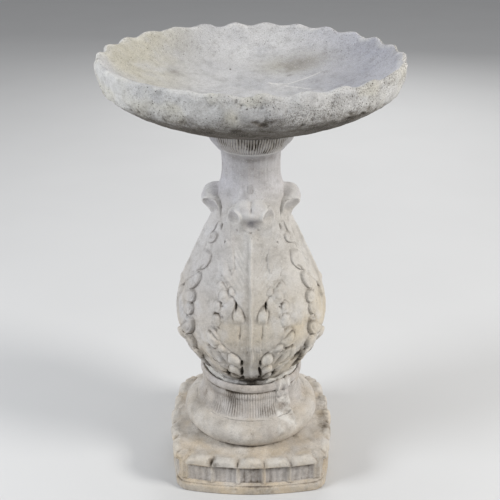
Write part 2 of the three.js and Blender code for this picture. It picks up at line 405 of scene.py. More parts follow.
def make_bowl():
    bowl = Turned(bowl_outline(), BOWL_COLUMNS)
    r, z = bowl.radius, bowl.z
    p = bowl.points()
    inside = (np.arange(len(z)) > np.argmax(bowl.outline[:, 1]))[:, None]
    wall = smoothstep(698, 712, z) * ~inside * smoothstep(222, 235, r)
    under = ~inside * smoothstep(SEAT_RADIUS + 2, SEAT_RADIUS + 14, r) * smoothstep(712, 704, z)
    scallop_rim(bowl, p, inside)
    bumps = (1.45 * rough(p, 17, 11, 4) + 0.5 * noise(p, 6, 13) * wall) * (0.55 + 0.45 * wall)
    bumps = bumps * smoothstep(SEAT_RADIUS, SEAT_RADIUS + 8, r)
    chip = noise(p, 7, 21)
    chips = -2.0 * smoothstep(0.42, 0.75, chip) * wall
    basin_waves = np.where(inside, 1.0 * noise(p, 70, 31), 0)
    bowl.push(np.where(inside, 0.3 * rough(p, 14, 12) + basin_waves, bumps + chips))

    x = p[..., 0]
    speckle = 0.5 + 0.5 * rough(p, 22, 41)
    right = smoothstep(-120, 160, x)
    # Grime and painted shade: a darker band where the wall curves under into the groove.
    band = smoothstep(736, 707, z + 5 * rough(p, 18, 43)) * (0.5 + 0.45 * speckle)
    band = band * (0.3 + 0.7 * smoothstep(225, 150, np.abs(x)))
    basin_dirt = 0.1 * smoothstep(0.1, 0.9, rough(p, 20, 51))
    basin_dirt = basin_dirt + 0.5 * spot(p, 68, 103, 8, 8) + spot(p, -36, 131, 2.4, 4)
    outer_dirt_and_shade = np.maximum(band * (0.6 + 0.4 * right), under * (0.5 + 0.5 * speckle))
    outer_dirt_and_shade = outer_dirt_and_shade + 0.3 * smoothstep(0.3, 0.8, chip) * wall + 0.1 * wall * speckle
    bowl.mark("dirt_and_shade", np.where(inside, basin_dirt, outer_dirt_and_shade))
    stains = 0.48 * spot(p, 80, 140, 50, 24) + 0.5 * spot(p, -131, 91, 13, 15)
    stains = stains + 0.12 * spot(p, 150, 60, 80, 80)
    basin_shade = 0.06 + stains + 0.06 * rough(p, 40, 53)
    # Painted shade under the bowl and on the band; inside, the basin's real stains.
    bowl.mark("shade", np.where(inside, basin_shade, 0.9 * under * smoothstep(232, 190, r) + 0.5 * band))
    # Painted light: the left of the basin is warmed where the warm lamp on the right falls on it, and its
    # right side cooled where the cool lamp on the left falls; the warm spot is a real stain.
    left = smoothstep(60, 200, -x) * smoothstep(-60, 40, p[..., 1])
    basin_warmth = 0.6 * left + 0.5 * spot(p, 80, 140, 60, 30)
    bowl.mark("warm", np.where(inside, basin_warmth, 0.35 * wall * smoothstep(-0.2, 0.7, noise(p, 26, 61))))
    bowl.mark("cool", np.where(inside, 0.12 + 0.3 * smoothstep(40, 190, x), 0.05))
    wall_pits = (0.45 + 0.65 * right) * (0.6 + 0.6 * rough(p, 45, 44)) * wall
    basin_pits = 0.12 + 0.25 * smoothstep(150, 215, r)
    bowl.mark("pitted", np.where(inside, basin_pits, wall_pits + 1.0 * under + 0.8 * band))
    straw = sum(streak(p, start, end, 1.4) for start, end in STRAWS) * inside
    # Painted highlights on the wall's left and right ends and on the rim's top; the straws are real.
    ends = wall * smoothstep(90, 200, np.abs(x))
    rim = smoothstep(RIM_Z - 9, RIM_Z - 1, z) * smoothstep(-0.5, 0.6, noise(p, 12, 62))
    bowl.mark("pale", 0.4 * rim + 0.6 * straw + 0.22 * ends)
    look = stone("bowl_stone", colour(204, 203, 200), colour(180, 180, 180), colour(204, 196, 162),
                 colour(94, 88, 80), grain=1.4)
    return bowl.build("bowl_casting", "basin", "bowl", "bowl_stone", look)


# ---- Baluster ----

BALUSTER_COLUMNS = 336
COLLAR_RIBS = 100
CURL_Z = 517
LEAF_BOTTOM_Z = 197
LEAF_TOP_Z = 546
LEAF_COLUMNS = 165
LEAF_REACH = 44.5  # degrees that a leaf's shell runs to each side of its midrib
SUNK = 12  # how far the turned body lies below its outline under a leaf
BEAD_Z = 609  # the bead under the collar's ribs
BLEMISH_Z = 549  # the small sunken patch above the front leaf
PIN_HOLE_RADIUS = 8.3
PIN_HOLE_DEPTH = 41
PEAR = [(77, FOOT_Z), (79, 198), (89, 212), (108, 244), (121, 268), (128, 292), (128, 312), (125, 333),
        (116, 370), (104, 399), (91, 427), (80, 452), (72, 472), (66.5, 490), (62.5, 508),
        (59, 530), (51.5, 550), (48.7, 566), (48.4, 580), (49, 590)]

# Leaning ellipses: degrees from the midrib, height, half width, half length, lean outwards in degrees
# and, last, how high a lobe or a leaflet stands or how deep a hole goes.
EDGE_LOBES = [
    (32.5, 460, 9.5, 14, 62, 1.6),
    (27, 420, 13, 24, 46, 2.0),
    (25, 386, 11, 18, 28, 2.6),
    (27.5, 361, 9.5, 11, 5, 3.2),
    (27.5, 340, 9.5, 12, 0, 3.2),
    (28.5, 308, 12, 18, 28, 4.2),
    (29, 277, 12, 16, 25, 4.0),
    (27.5, 248, 11, 17, 20, 4.0),
    (25, 221, 10, 17, 10, 3.0),
]
LEAFLETS = [
    (9.4, 351, 8.0, 15, 12, 8.0),
    (17.0, 386, 5.2, 8.5, 35, 4.6),
    (23.5, 381, 6.6, 9.0, 20, 5.0),
    (31, 409, 4.4, 7.0, 35, 3.2),
    (27, 362, 6.2, 7.5, 10, 4.4),
    (27, 343, 6.2, 7.5, 0, 4.2),
    (28.5, 308, 6.6, 13, 38, 6.0),
    (20.5, 290, 5.6, 10, 35, 4.8),
    (12.7, 267, 9.6, 17, 6, 9.0),
    (14.8, 238, 8.2, 14, 10, 8.0),
    (18, 214, 8.2, 12, 15, 6.0),
    (24.5, 262, 6.5, 20, 20, 4.6),
    (31.5, 277, 6.8, 14, 22, 4.6),
    (26.5, 229, 6.8, 17, 15, 4.2),
]
HOLES = [
    (12.2, 367, 1.8, 6.5, 14, 7.5),
    (8.6, 324, 3.2, 15, 3, 1.8),
    (22.5, 364, 1.6, 2.2, 0, 2.6),
    (22.0, 346, 2.0, 2.6, 0, 2.0),
    (33.0, 339, 1.7, 3.0, 0, 3.4),
    (31.0, 398, 1.5, 2.5, 0, 2.4),
    (7.8, 259, 2.4, 9, -8, 7.0),
    (8.6, 233, 3.0, 15, -10, 9.0),
    (10.5, 208, 3.8, 11, -20, 9.0),
    (21.5, 222, 3.0, 12, 15, 7.0),
    (22.5, 284, 2.2, 6, 35, 4.0),
    (35.0, 246, 4.6, 12, 20, 8.0),
    (34.0, 461, 1.7, 2.2, 0, 3.0),
]
# Straight slits between two (degrees, height) places, with a width and a depth.
SLITS = [
    ((27, 465), (43, 475), 1.3, 2.6),
    ((19, 436), (37, 450), 1.3, 2.8),
    ((24, 400), (32, 416), 1.4, 2.0),
    ((33, 352), (27, 351), 1.4, 2.4),
    ((34, 329), (24, 327), 1.4, 2.4),
    ((35, 291), (25, 288), 1.6, 3.2),
    ((34, 262), (24, 252), 1.6, 3.4),
    ((33, 232), (23, 224), 1.6, 3.0),
]


def baluster_outline():
    collar = [PEAR[-1], (50, 600), (53, 606), (58, 611), (64.5, 617.5), (69.5, 624), (73, 632), (76, 641),
              (78, COLLAR_Z)]
    dowel_top = FOOT_Z + DOWEL_HOLE_DEPTH
    pin_floor = COLLAR_Z - PIN_HOLE_DEPTH
    dowel_hole = [(0, dowel_top), (DOWEL_HOLE_RADIUS, dowel_top), (DOWEL_HOLE_RADIUS, FOOT_Z)]
    pin_hole = [(PIN_HOLE_RADIUS, COLLAR_Z), (PIN_HOLE_RADIUS, pin_floor), (0, pin_floor)]
    return join(
        line(dowel_hole + [PEAR[0]], 9),
        curve(PEAR, 1.9),
        curve(collar, 1.6),
        line([collar[-1]] + pin_hole, 9),
    )


def mound(inside, size, height):
    """A round-edged mound of a height, `inside` mm in from its outline, level beyond `size` mm."""
    share = np.clip(inside / size, 0, 1)
    return height * np.sqrt(share * (2 - share))


class Leaf:
    """The carving of one leaf at every point of a grid. Its halves mirror each other. Lengths are in mm."""

    def __init__(self, turn, angle, radius, z, side_leaf):
        p = np.stack([radius * np.cos(angle), radius * np.sin(angle), z], -1)
        self.z = z + 1.5 * rough(p, 26, 71)
        self.radius = radius
        self.breadth = 1 + 0.2 * side_leaf * smoothstep(455, 400, z)
        self.turn = (turn + 0.9 * rough(p, 30, 72, 2)) / self.breadth
        self.plain = (1 - side_leaf) * smoothstep(392, 428, z)  # where the edge melts into the body
        self.boldness = 1 - 0.35 * side_leaf
        self.side = np.abs(self.turn)
        self.arc = np.radians(self.side) * radius
        self.curl_arc = np.radians(self.side) * 68
        self.curl_z = self.z - 4 * side_leaf  # the side leaves curl a little higher up

    def across(self, degrees):
        """Distance from a line at so many degrees from the midrib."""
        return np.radians(self.side - degrees) * self.radius

    def within(self, degrees, height_z, half_width, half_length, lean):
        """How far each point lies inside a leaning ellipse."""
        across, rise, tilt = self.across(degrees), self.z - height_z, math.radians(lean)
        u = (across * math.cos(tilt) - rise * math.sin(tilt)) / half_width
        v = (across * math.sin(tilt) + rise * math.cos(tilt)) / half_length
        self.along = v
        return (1 - np.hypot(u, v)) * min(half_width, half_length)

    def slit(self, start, end, width, depth):
        """A straight cut that fades at its inner end."""
        a, b = np.array(start, float), np.array(end, float)
        scale = math.radians(1) * np.interp((a[1] + b[1]) / 2, [200, 300, 400, 480], [85, 128, 104, 70])
        along = np.array([(b[0] - a[0]) * scale, b[1] - a[1]])
        length = np.hypot(*along)
        along /= length
        x, y = (self.side - a[0]) * scale, self.z - a[1]
        travel = x * along[0] + y * along[1]
        aside = x * along[1] - y * along[0]
        share = travel / length
        return depth * smoothstep(0, 0.35, share) * smoothstep(1.15, 0.9, share) * bell(aside, width)

    def inward(self):
        """How far each point lies inside the leaf's lobed outline, the curl at its tip included."""
        heights = [196, 215, 250, 350, 385, 425, 450, 475, 490]
        core_edge = np.interp(self.z, heights, [20, 24, 26, 26, 22, 22, 26, 34, 36])
        core = np.minimum(-self.across(core_edge), 492 - self.z)
        bottom = CURL_Z - 42 + 14 * smoothstep(10, 36, self.side)
        curl = np.minimum(self.inside_curl(), self.z - bottom)
        return np.maximum.reduce([core, curl] + [self.within(*lobe[:5]) for lobe in EDGE_LOBES])

    def tier(self, degrees, height_z, slope, reach):
        """A leaf tier, raised 1 just under a slanting line and easing off over `reach` mm, and its edge."""
        lean = math.atan(slope)
        below = self.across(degrees) * math.sin(lean) - (self.z - height_z) * math.cos(lean)
        raised = mound(below, 4, 1.0) * np.exp(-np.clip(below, 0, None) / reach)
        return raised * smoothstep(8, 11, self.side), bell(below, 1.5) * smoothstep(9, 12, self.side)

    def inside_curl(self):
        """How far each point lies inside the curl's double-arched outline."""
        arc, z = self.curl_arc, self.curl_z
        inner = 19 - np.hypot(np.clip(arc - 12, 0, None), np.clip(z - 516, 0, None))
        outer = 21.5 - np.hypot(np.clip(arc - 25.5, 0, None), np.clip(z - 504, 0, None))
        notch = 4 * bell(arc, 4.5) * smoothstep(518, 530, z)
        return np.maximum(inner - notch, outer)

    def curl(self):
        """The leaf's tip, curled outwards, with a round hollow at each side and one under it."""
        arc, z = self.curl_arc, self.curl_z
        bottom = CURL_Z - 38 + 12 * smoothstep(10, 36, self.side)
        falling = 1 - smoothstep(-0.1, 1.05, np.clip((z - CURL_Z) / (bottom - CURL_Z), 0, 1))
        falling = falling / (1 - smoothstep(-0.1, 1.05, 0))
        knob = mound(self.inside_curl(), 11, 21.5) * falling * (1 - 0.4 * smoothstep(14, 46, arc))
        disc = np.hypot(arc - 30, z - 508)
        saucer = -8.0 * np.clip(1 - (disc / 13.5) ** 2, 0, 1) ** 0.55
        rim = 3.0 * bell(disc - 16, 1.9) * smoothstep(498, 512, z)
        nose = 2.8 * bell(arc, 11) * bell(z - 513, 9)
        crease = -6.0 * bell(arc, 2.0) * smoothstep(514, 526, z)
        hollow = -7 * bell(arc, 9) * smoothstep(512, 500, z) * smoothstep(474, 497, z)
        lip = -0.9 * bell(np.hypot(arc, z - 498) - 20, 1.3) * smoothstep(492, 486, z)
        # Grime and painted shade along the discs' edges and the middle crease.
        disc_line = bell(disc - 13.8, 1.1) * smoothstep(497, 512, z)
        middle_line = bell(arc, 1.6) * smoothstep(517, 527, z)
        self.scroll_line = (disc_line + middle_line) * smoothstep(2, 9, knob)
        # Painted highlight along the curl's arched top and the discs' rims.
        arch = bell(self.inside_curl() - 4, 2.5) + bell(disc - 16.5, 2.2) * (disc > 14)
        self.arch = np.clip(arch, 0, 1) * smoothstep(500, 512, z)
        # The discs' hollows, for painted shade.
        self.saucer = smoothstep(14, 11.5, disc) * smoothstep(2, 9, knob)
        return knob + (saucer + rim + nose + crease) * smoothstep(0, 8, knob) + hollow + lip

    def leaflets(self):
        """Curled tips that stand up at their upper ends and sink into the leaf, and their grooves."""
        height, ring = 0, 0
        for degrees, height_z, half_width, half_length, lean, tall in LEAFLETS:
            inside = self.within(degrees, height_z, half_width, half_length, lean)
            taper = smoothstep(-1.1, 0.15, self.along)
            height = np.maximum(height, mound(inside, half_width, tall * self.boldness) * taper)
            ring = np.maximum(ring, bell(inside + 0.6, 1.3) * taper)
        return height, ring

    def carve(self):
        """Works out the relief over the body's outline, and where crevices and holes are darkened by grime
        and painted shade.
        """
        side, z = self.side, self.z
        thickness = 3.0 - 1.8 * self.plain
        lobes = 0
        for degrees, height_z, half_width, half_length, lean, tall in EDGE_LOBES:
            inside = self.within(degrees, height_z, half_width, half_length, lean)
            lobes = np.maximum(lobes, mound(inside, 8, tall))
        first, first_line = self.tier(11, 369, 1.12, 50)
        second, second_line = self.tier(12, 284, 0.85, 60)
        first_line = first_line * smoothstep(34, 31, side)
        second_line = second_line * smoothstep(34, 31, side)
        roof = -4.6 * smoothstep(0, 13, side) * smoothstep(31, 16, side) * smoothstep(345, 385, z)
        roof = roof * smoothstep(492, 470, z)
        flutes = 0.5 * np.cos(2 * math.pi * (z - 1.9 * side) / 11)
        flutes = flutes * smoothstep(5, 10, side) * smoothstep(27, 20, side)
        flutes = flutes * smoothstep(385, 405, z) * smoothstep(465, 440, z)
        midrib = 3.0 * bell(self.arc, 2.7) * smoothstep(478, 462, z) * (0.6 + 0.4 * smoothstep(300, 340, z))
        uneven = 0.6 + 0.5 * noise(np.stack([side, 0 * z, z / 30], -1), 2.2, 76)
        stem_share = smoothstep(8.8, 6.5, side) * smoothstep(345, 300, z)
        stem = stem_share * (0.8 + 0.6 * uneven * np.cos(2 * math.pi * self.arc / 5.2))
        self.tips, rings = self.leaflets()
        holes = sum(hole[5] * smoothstep(-0.2, 0.55, self.within(*hole[:5]) / hole[2]) for hole in HOLES)
        slits = sum(self.slit(*slit) for slit in SLITS)
        grooves = 1.5 * rings + 2.4 * first_line + 1.2 * second_line
        ground = thickness + roof + flutes + midrib + stem + 2.4 * first + 2.2 * second
        blade = np.maximum(ground + lobes * (1 - 0.6 * self.plain), ground + self.tips)
        blade = blade - grooves - holes - 1.4 * slits
        fade = smoothstep(493, 480, z)
        self.relief = blade * fade + self.curl()
        # Grime and painted shade along grooves and slits, and painted shade in the holes.
        crevice_dirt_and_shade = 0.7 * rings + 0.9 * first_line + 0.35 * second_line + slits / 1.6
        self.crevice_dirt_and_shade = np.clip(crevice_dirt_and_shade, 0, 1) * fade
        self.depth = np.clip((holes - 1.5) / 4, 0, 1) * fade


def skin(p):
    """The casting's unevenness and its scattered pits."""
    pits = 1.5 * smoothstep(0.62, 0.85, noise(p, 5.5, 91)) * smoothstep(0.0, 0.5, noise(p, 60, 92))
    return 0.45 * rough(p, 13, 81, 3) + 0.5 * noise(p, 38, 84) - pits


def mark_baluster(part, p, z, dirt_and_shade):
    """The marks that the body and its leaves share, so that their stone runs on from one to the other."""
    below_collar = smoothstep(COLLAR_Z - 1, COLLAR_Z - 4, z)
    # Darker towards the bottom, most at the front.
    low = smoothstep(262, 200, z) * (0.28 + 0.3 * rough(p, 20, 94))
    low = low + 0.5 * smoothstep(226, 200, z) * bell(p[..., 0], 26) * (p[..., 1] < 0)
    haze = 0.4 * smoothstep(430, 320, z) * smoothstep(-0.6, 0.8, rough(p, 36, 99))
    part.mark("dirt_and_shade", dirt_and_shade + (low + haze) * below_collar)
    # Painted shade on the lower front centre of the body, and on the neck under the bowl.
    lower = 0.08 * smoothstep(470, 330, z) * (1 + 0.5 * rough(p, 50, 98))
    part.mark("shade", lower * bell(p[..., 0] + 10, 75) + 0.24 * smoothstep(545, 575, z))
    part.mark("warm", 0.2 + 0.75 * smoothstep(440, 280, z) * (0.55 + 0.5 * noise(p, 40, 95)))
    # Painted cool light on the left side, turned to the cool lamp, and painted cool shade on the upper body
    # under the bowl.
    part.mark("cool", 0.16 * smoothstep(20, -70, p[..., 0]) + 0.26 * smoothstep(500, 560, z))
    part.mark("pitted", 0.12 * (0.5 + 0.5 * noise(p, 40, 96)))


def make_baluster_body(look):
    baluster = Turned(baluster_outline(), BALUSTER_COLUMNS)
    r, z, angle = baluster.radius, baluster.z, baluster.angle
    p = baluster.points()
    outside = (z < COLLAR_Z - 0.01) & (z > FOOT_Z + 0.01) & (r > 9)
    quarters = np.round((angle - FRONT) / (math.pi / 2))
    turn = np.degrees(angle - FRONT) - 90 * quarters
    leaf = Leaf(turn, angle, r, z, quarters % 2)
    inward = leaf.inward()
    sunk = SUNK * smoothstep(1.0, 5.0, inward - 5 * leaf.plain)
    sunk = sunk * smoothstep(LEAF_BOTTOM_Z + 3, LEAF_BOTTOM_Z + 10, z)
    beside = bell(inward, 2.6) * smoothstep(505, 490, z) * smoothstep(200, 212, z) * (1 - 0.8 * leaf.plain)
    diagonal = np.radians(45 - np.abs(turn)) * r
    deep = smoothstep(1.15, 0.5, np.hypot(diagonal / 9, (z - 252) / 20)) * (8 + 4 * np.sign(p[..., 0]))
    pit = 5.5 * smoothstep(1.15, 0.5, np.hypot(diagonal / 3.6, (z - 482) / 5.5))
    collar = smoothstep(610, 613, z) * smoothstep(648, 644, z) * outside
    facing = smoothstep(0.5, 0.75, np.abs(np.cos(angle - FRONT - 0.04)))
    rib = np.cos(COLLAR_RIBS * angle + 2.6 * rough(p * (1, 1, 0.6), 16, 73, 2))
    worn = 0.6 + 0.5 * noise(p, 11, 74)
    ribs = collar * (1.7 * rib - 1.3) * (0.15 + 0.95 * facing * worn)
    bead = 1.4 * bell(z - BEAD_Z, 1.9) * outside
    neck = smoothstep(530, 545, z) * smoothstep(604, 596, z)
    stripes = 0.5 * noise(np.stack([angle * 50, 0 * z, z * 0.06], -1), 3.2, 75) * neck
    blemish = ((p[..., 0] + 1.5) / 5.2) ** 4 + ((z - BLEMISH_Z) / 6.6) ** 4
    ring = bell(blemish**0.25 - 1, 0.2) * (p[..., 1] < 0) * (z > 530) * outside
    baluster.radius = r + ribs + bead + stripes - 0.9 * ring - (sunk + deep + pit) * outside
    skinned = smoothstep(FOOT_Z, FOOT_Z + 4, z) * smoothstep(COLLAR_Z, COLLAR_Z - 4, z) * outside
    baluster.push(skin(p) * skinned)
    # Painted shadow of the bowl on the collar's top and under the collar's bead.
    painted_shadow_under_bowl = 0.4 * smoothstep(640, 649, z)
    painted_shadow_below_bead = bell(z - (BEAD_Z - 10), 6.5) * (0.6 + 0.4 * noise(p, 16, 93)) * facing * outside
    # Grime and painted shade in the rib grooves and over the front of the collar, which lies in the bowl's
    # shadow.
    furrow_dirt_and_shade = collar * smoothstep(0.2, -0.6, rib) * (0.05 + 0.85 * facing * worn)
    collar_grime_and_shade = collar * facing * (0.15 + 0.25 * rough(p, 14, 93))
    blotches = 0.22 * neck * smoothstep(0.0, 0.8, rough(p * (1, 1, 0.5), 14, 97))
    # Grime and painted shade beside the leaf's edges, in the deep hollows and in the pits.
    dirt_and_shade = 0.4 * beside + deep / 14 + pit / 5 + painted_shadow_under_bowl + 0.15 * painted_shadow_below_bead
    dirt_and_shade = dirt_and_shade + furrow_dirt_and_shade + collar_grime_and_shade + blotches + 0.32 * ring
    mark_baluster(baluster, p, z, outside * dirt_and_shade)
    sunken = smoothstep(1.3, 0.7, blemish) * (p[..., 1] < 0)
    baluster.mark("shade", baluster.marks["shade"] + 0.55 * painted_shadow_below_bead + 0.3 * sunken)
    # Painted highlights: the rib tops and the bead are lightened, and the rib tops warmed.
    rib_tops = collar * smoothstep(0.3, 1.0, rib) * facing
    baluster.mark("pale", 0.35 * rib_tops + 0.3 * bell(z - BEAD_Z - 1, 1.6) * facing)
    baluster.mark("warm", baluster.marks["warm"] + 0.8 * collar * smoothstep(0.0, 0.8, rib) * facing)
    baluster.build("baluster_casting", "pedestal", "baluster", "baluster_stone", look)


class Shell(Turned):
    """A thick patch of the body that carries one leaf: an outer and an inner sheet joined at their rims."""

    def __init__(self, middle, half_reach):
        outline = curve(PEAR, 1.25)
        outline = outline[(outline[:, 1] > LEAF_BOTTOM_Z) & (outline[:, 1] < LEAF_TOP_Z)]
        super().__init__(outline, LEAF_COLUMNS)
        self.turn = np.broadcast_to(np.linspace(-half_reach, half_reach, LEAF_COLUMNS), self.z.shape)
        self.angle = FRONT + np.radians(middle + self.turn)

    def build(self, name, thickness, body, node, slot, material):
        rows, columns = self.z.shape
        count = rows * columns
        outer = self.points().reshape(-1, 3)
        back_radius = np.repeat(self.outline[:, :1], columns, 1) - thickness
        back_z = np.repeat(self.outline[:, 1:], columns, 1)
        inner = np.stack([back_radius * np.cos(self.angle), back_radius * np.sin(self.angle), back_z], -1)
        index = np.arange(count).reshape(rows, columns)
        corners = [index[:-1, :-1], index[:-1, 1:], index[1:, 1:], index[1:, :-1]]
        front = np.stack(corners, -1).reshape(-1, 4)
        rim = np.concatenate([index[0, :], index[1:, -1], index[-1, -2::-1], index[-2:0:-1, 0]])
        after = np.roll(rim, -1)
        sides = np.stack([after, rim, rim + count, after + count], -1)
        faces = np.concatenate([front, front[:, ::-1] + count, sides]).tolist()
        vertices = np.concatenate([outer, inner.reshape(-1, 3)])
        marks = {mark: np.concatenate([value.ravel(), value.ravel()]) for mark, value in self.marks.items()}
        return casting(name, vertices, faces, marks, body, node, material)


def make_leaf(name, middle, side_leaf, look):
    shell = Shell(middle, LEAF_REACH)
    r, z = shell.radius, shell.z
    p = shell.points()
    leaf = Leaf(shell.turn, shell.angle, r, z, side_leaf)
    leaf.carve()
    plain = leaf.plain
    present = smoothstep(-0.9, 1.1 + 6 * plain, leaf.inward())
    present = present * smoothstep(LEAF_BOTTOM_Z, LEAF_BOTTOM_Z + 5, z)
    present = present * smoothstep(LEAF_REACH - 0.1, LEAF_REACH - 0.9, np.abs(shell.turn))
    present = present * smoothstep(LEAF_TOP_Z, LEAF_TOP_Z - 2, z)
    buried = 4 - 3 * plain
    rise = 0.1 + 0.9 * smoothstep(LEAF_BOTTOM_Z + 2, LEAF_BOTTOM_Z + 26, z)
    shell.radius = r - buried + (leaf.relief * rise + buried) * present
    overhang = 1.5 * bell(leaf.curl_z - 506, 6) * bell(leaf.curl_arc, 12)  # of the tip over its hollow
    shell.z = z - overhang
    shell.push(skin(p))
    patchy = 0.35 + 0.65 * smoothstep(-0.5, 0.6, noise(p, 16, 98))
    # Grime and painted shade along the leaf's edge and the curl's outline, and painted shadow under the
    # curl's tip.
    edge = bell(leaf.inward() + 0.5, 2.0) * smoothstep(500, 480, z) * (1 - 0.85 * plain)
    left_flank = bell(leaf.turn + 3.5, 2.2) * smoothstep(478, 462, z)
    painted_shadow_under_curl = bell(leaf.curl_arc, 6) * bell(leaf.curl_z - 502, 3.5)
    shade = bell(leaf.curl_arc, 9) * smoothstep(474, 501, leaf.curl_z) * smoothstep(515, 504, leaf.curl_z)
    shade = shade * (0.75 + 0.5 * rough(p, 9, 87))
    contour = bell(leaf.inside_curl(), 1.5) * smoothstep(496, 506, leaf.curl_z) * patchy
    dirt_and_shade = 0.6 * leaf.crevice_dirt_and_shade * patchy + leaf.depth + 0.2 * painted_shadow_under_curl + 0.4 * contour
    dirt_and_shade = dirt_and_shade + 0.3 * edge * patchy + 0.5 * leaf.scroll_line
    mark_baluster(shell, p, z, dirt_and_shade)
    # Painted shade in the hollow under the curl, in the discs and on the left flank of the midrib.
    shell.mark("shade", shell.marks["shade"] + 0.4 * shade + 0.22 * leaf.saucer + 0.2 * left_flank)
    # Painted cool shadow in the hollow under the curl, and the curl's face tinted cool and lightened as
    # painted light.
    curled = smoothstep(1, 8, leaf.inside_curl()) * smoothstep(500, 508, leaf.curl_z)
    shell.mark("cool", shell.marks["cool"] + 0.4 * shade + 0.1 * curled)
    # Painted highlights on the midrib, the leaflet tips, the curl's arched top and its face.
    pale = 0.2 * bell(leaf.arc, 2.2) * smoothstep(478, 462, z) + 0.16 * smoothstep(2, 7, leaf.tips)
    shell.mark("pale", pale + 0.35 * leaf.arch + 0.18 * curled * (1 - leaf.saucer))
    shell.build(name, SUNK + 6, "pedestal", "baluster", "baluster_stone", look)


def make_baluster():
    look = stone("baluster_stone", colour(208, 206, 203), colour(184, 182, 180), colour(202, 188, 162),
                 colour(96, 88, 78), grain=0.8)
    make_baluster_body(look)
    leaves = {"front_leaf": 0, "right_leaf": 90, "back_leaf": 180, "left_leaf": -90}
    for name, middle in leaves.items():
        make_leaf(name, middle, abs(middle) == 90, look)


# ---- Base ----

BASE_COLUMNS = 528
NECK_RIBS = 128
HALF_SIDE = 148
CORNER = 131
LOBES = 5
LOBE_PITCH = 48
BAND_END = LOBES * LOBE_PITCH / 2
RECESS = 139.5
LEDGE_Z = 22
VISOR_Z = 58  # the hoods' lower edge
HOOD_Z = VISOR_Z + 2.4  # where the hoods and the plateau behind them begin to sink between the lobes
SEAT_DEPTH = 8  # of the dished seat for the baluster, below the ring's top


def base_outline():
    side = HALF_SIDE
    seat_z = RING_TOP_Z - SEAT_DEPTH
    hole_floor = seat_z - DOWEL_HOLE_DEPTH
    dowel_hole = [(DOWEL_HOLE_RADIUS, seat_z), (DOWEL_HOLE_RADIUS, hole_floor), (0, hole_floor)]
    return join(
        line([(0, 0), (side - 2, 0)], 12),
        curve([(side - 2, 0), (side - 0.3, 1.2), (side, 4), (side, 13), (side - 0.8, 15.6)], 1.7),
        curve([(side - 0.8, 15.6), (side - 2.8, 17), (side - 2.2, 18.6), (side - 4, 20.4),
               (RECESS, LEDGE_Z)], 1.5),
        line([(RECESS, LEDGE_Z), (RECESS, VISOR_Z - 1)], 1.9),
        line([(RECESS, VISOR_Z - 1), (side - 1, VISOR_Z)], 1.6),
        curve([(side - 1, VISOR_Z), (side + 0.8, 60), (side + 1.4, 65), (side + 0.2, 70.5),
               (side - 3.5, 74.6), (side - 8.5, 75.6), (side - 14, 73.8)], 1.5),
        curve([(side - 14, 73.8), (side - 22, 73.6), (118, 75.6), (109.6, 80.2)], 2.3),
        bulge((98, 102), 24.5, 24.5, -62, 84, 2.3),
        curve([(100.6, 126.4), (97.5, 127.8), (94.5, 131), (90, 140), (87.2, 150), (86.4, 159.5)], 1.7),
        curve([(86.4, 159.5), (87.4, 162.5), (89.2, 167), (88.4, 172.5), (86, 176.5)], 1.5),
        curve([(86, 176.5), (90.3, 179), (92.7, 184), (92.2, 190), (89.8, RING_TOP_Z), (87.2, 193.2),
               (84.6, 190.4), (82, 188.6), (80, 187.8)], 1.3),
        line([(80, 187.8), (80, seat_z)], 2),
        line([(80, seat_z)] + dowel_hole, 9),
    )


def bowed_square(angle):
    """Radius of a square with bowed sides and rounded corners, over its radius at mid-side."""
    quarter = math.pi / 2
    turn = angle - quarter * np.round(angle / quarter)
    slope = np.abs(np.tan(turn))
    bow = (HALF_SIDE - CORNER) * slope**2 / CORNER**2
    forward = 2 * HALF_SIDE / (1 + np.sqrt(1 + 4 * bow * HALF_SIDE))
    rounded = 4.5 * bell(np.degrees(np.abs(turn)) - 45, 2.4)
    return (forward * np.hypot(1, slope) - rounded) / HALF_SIDE


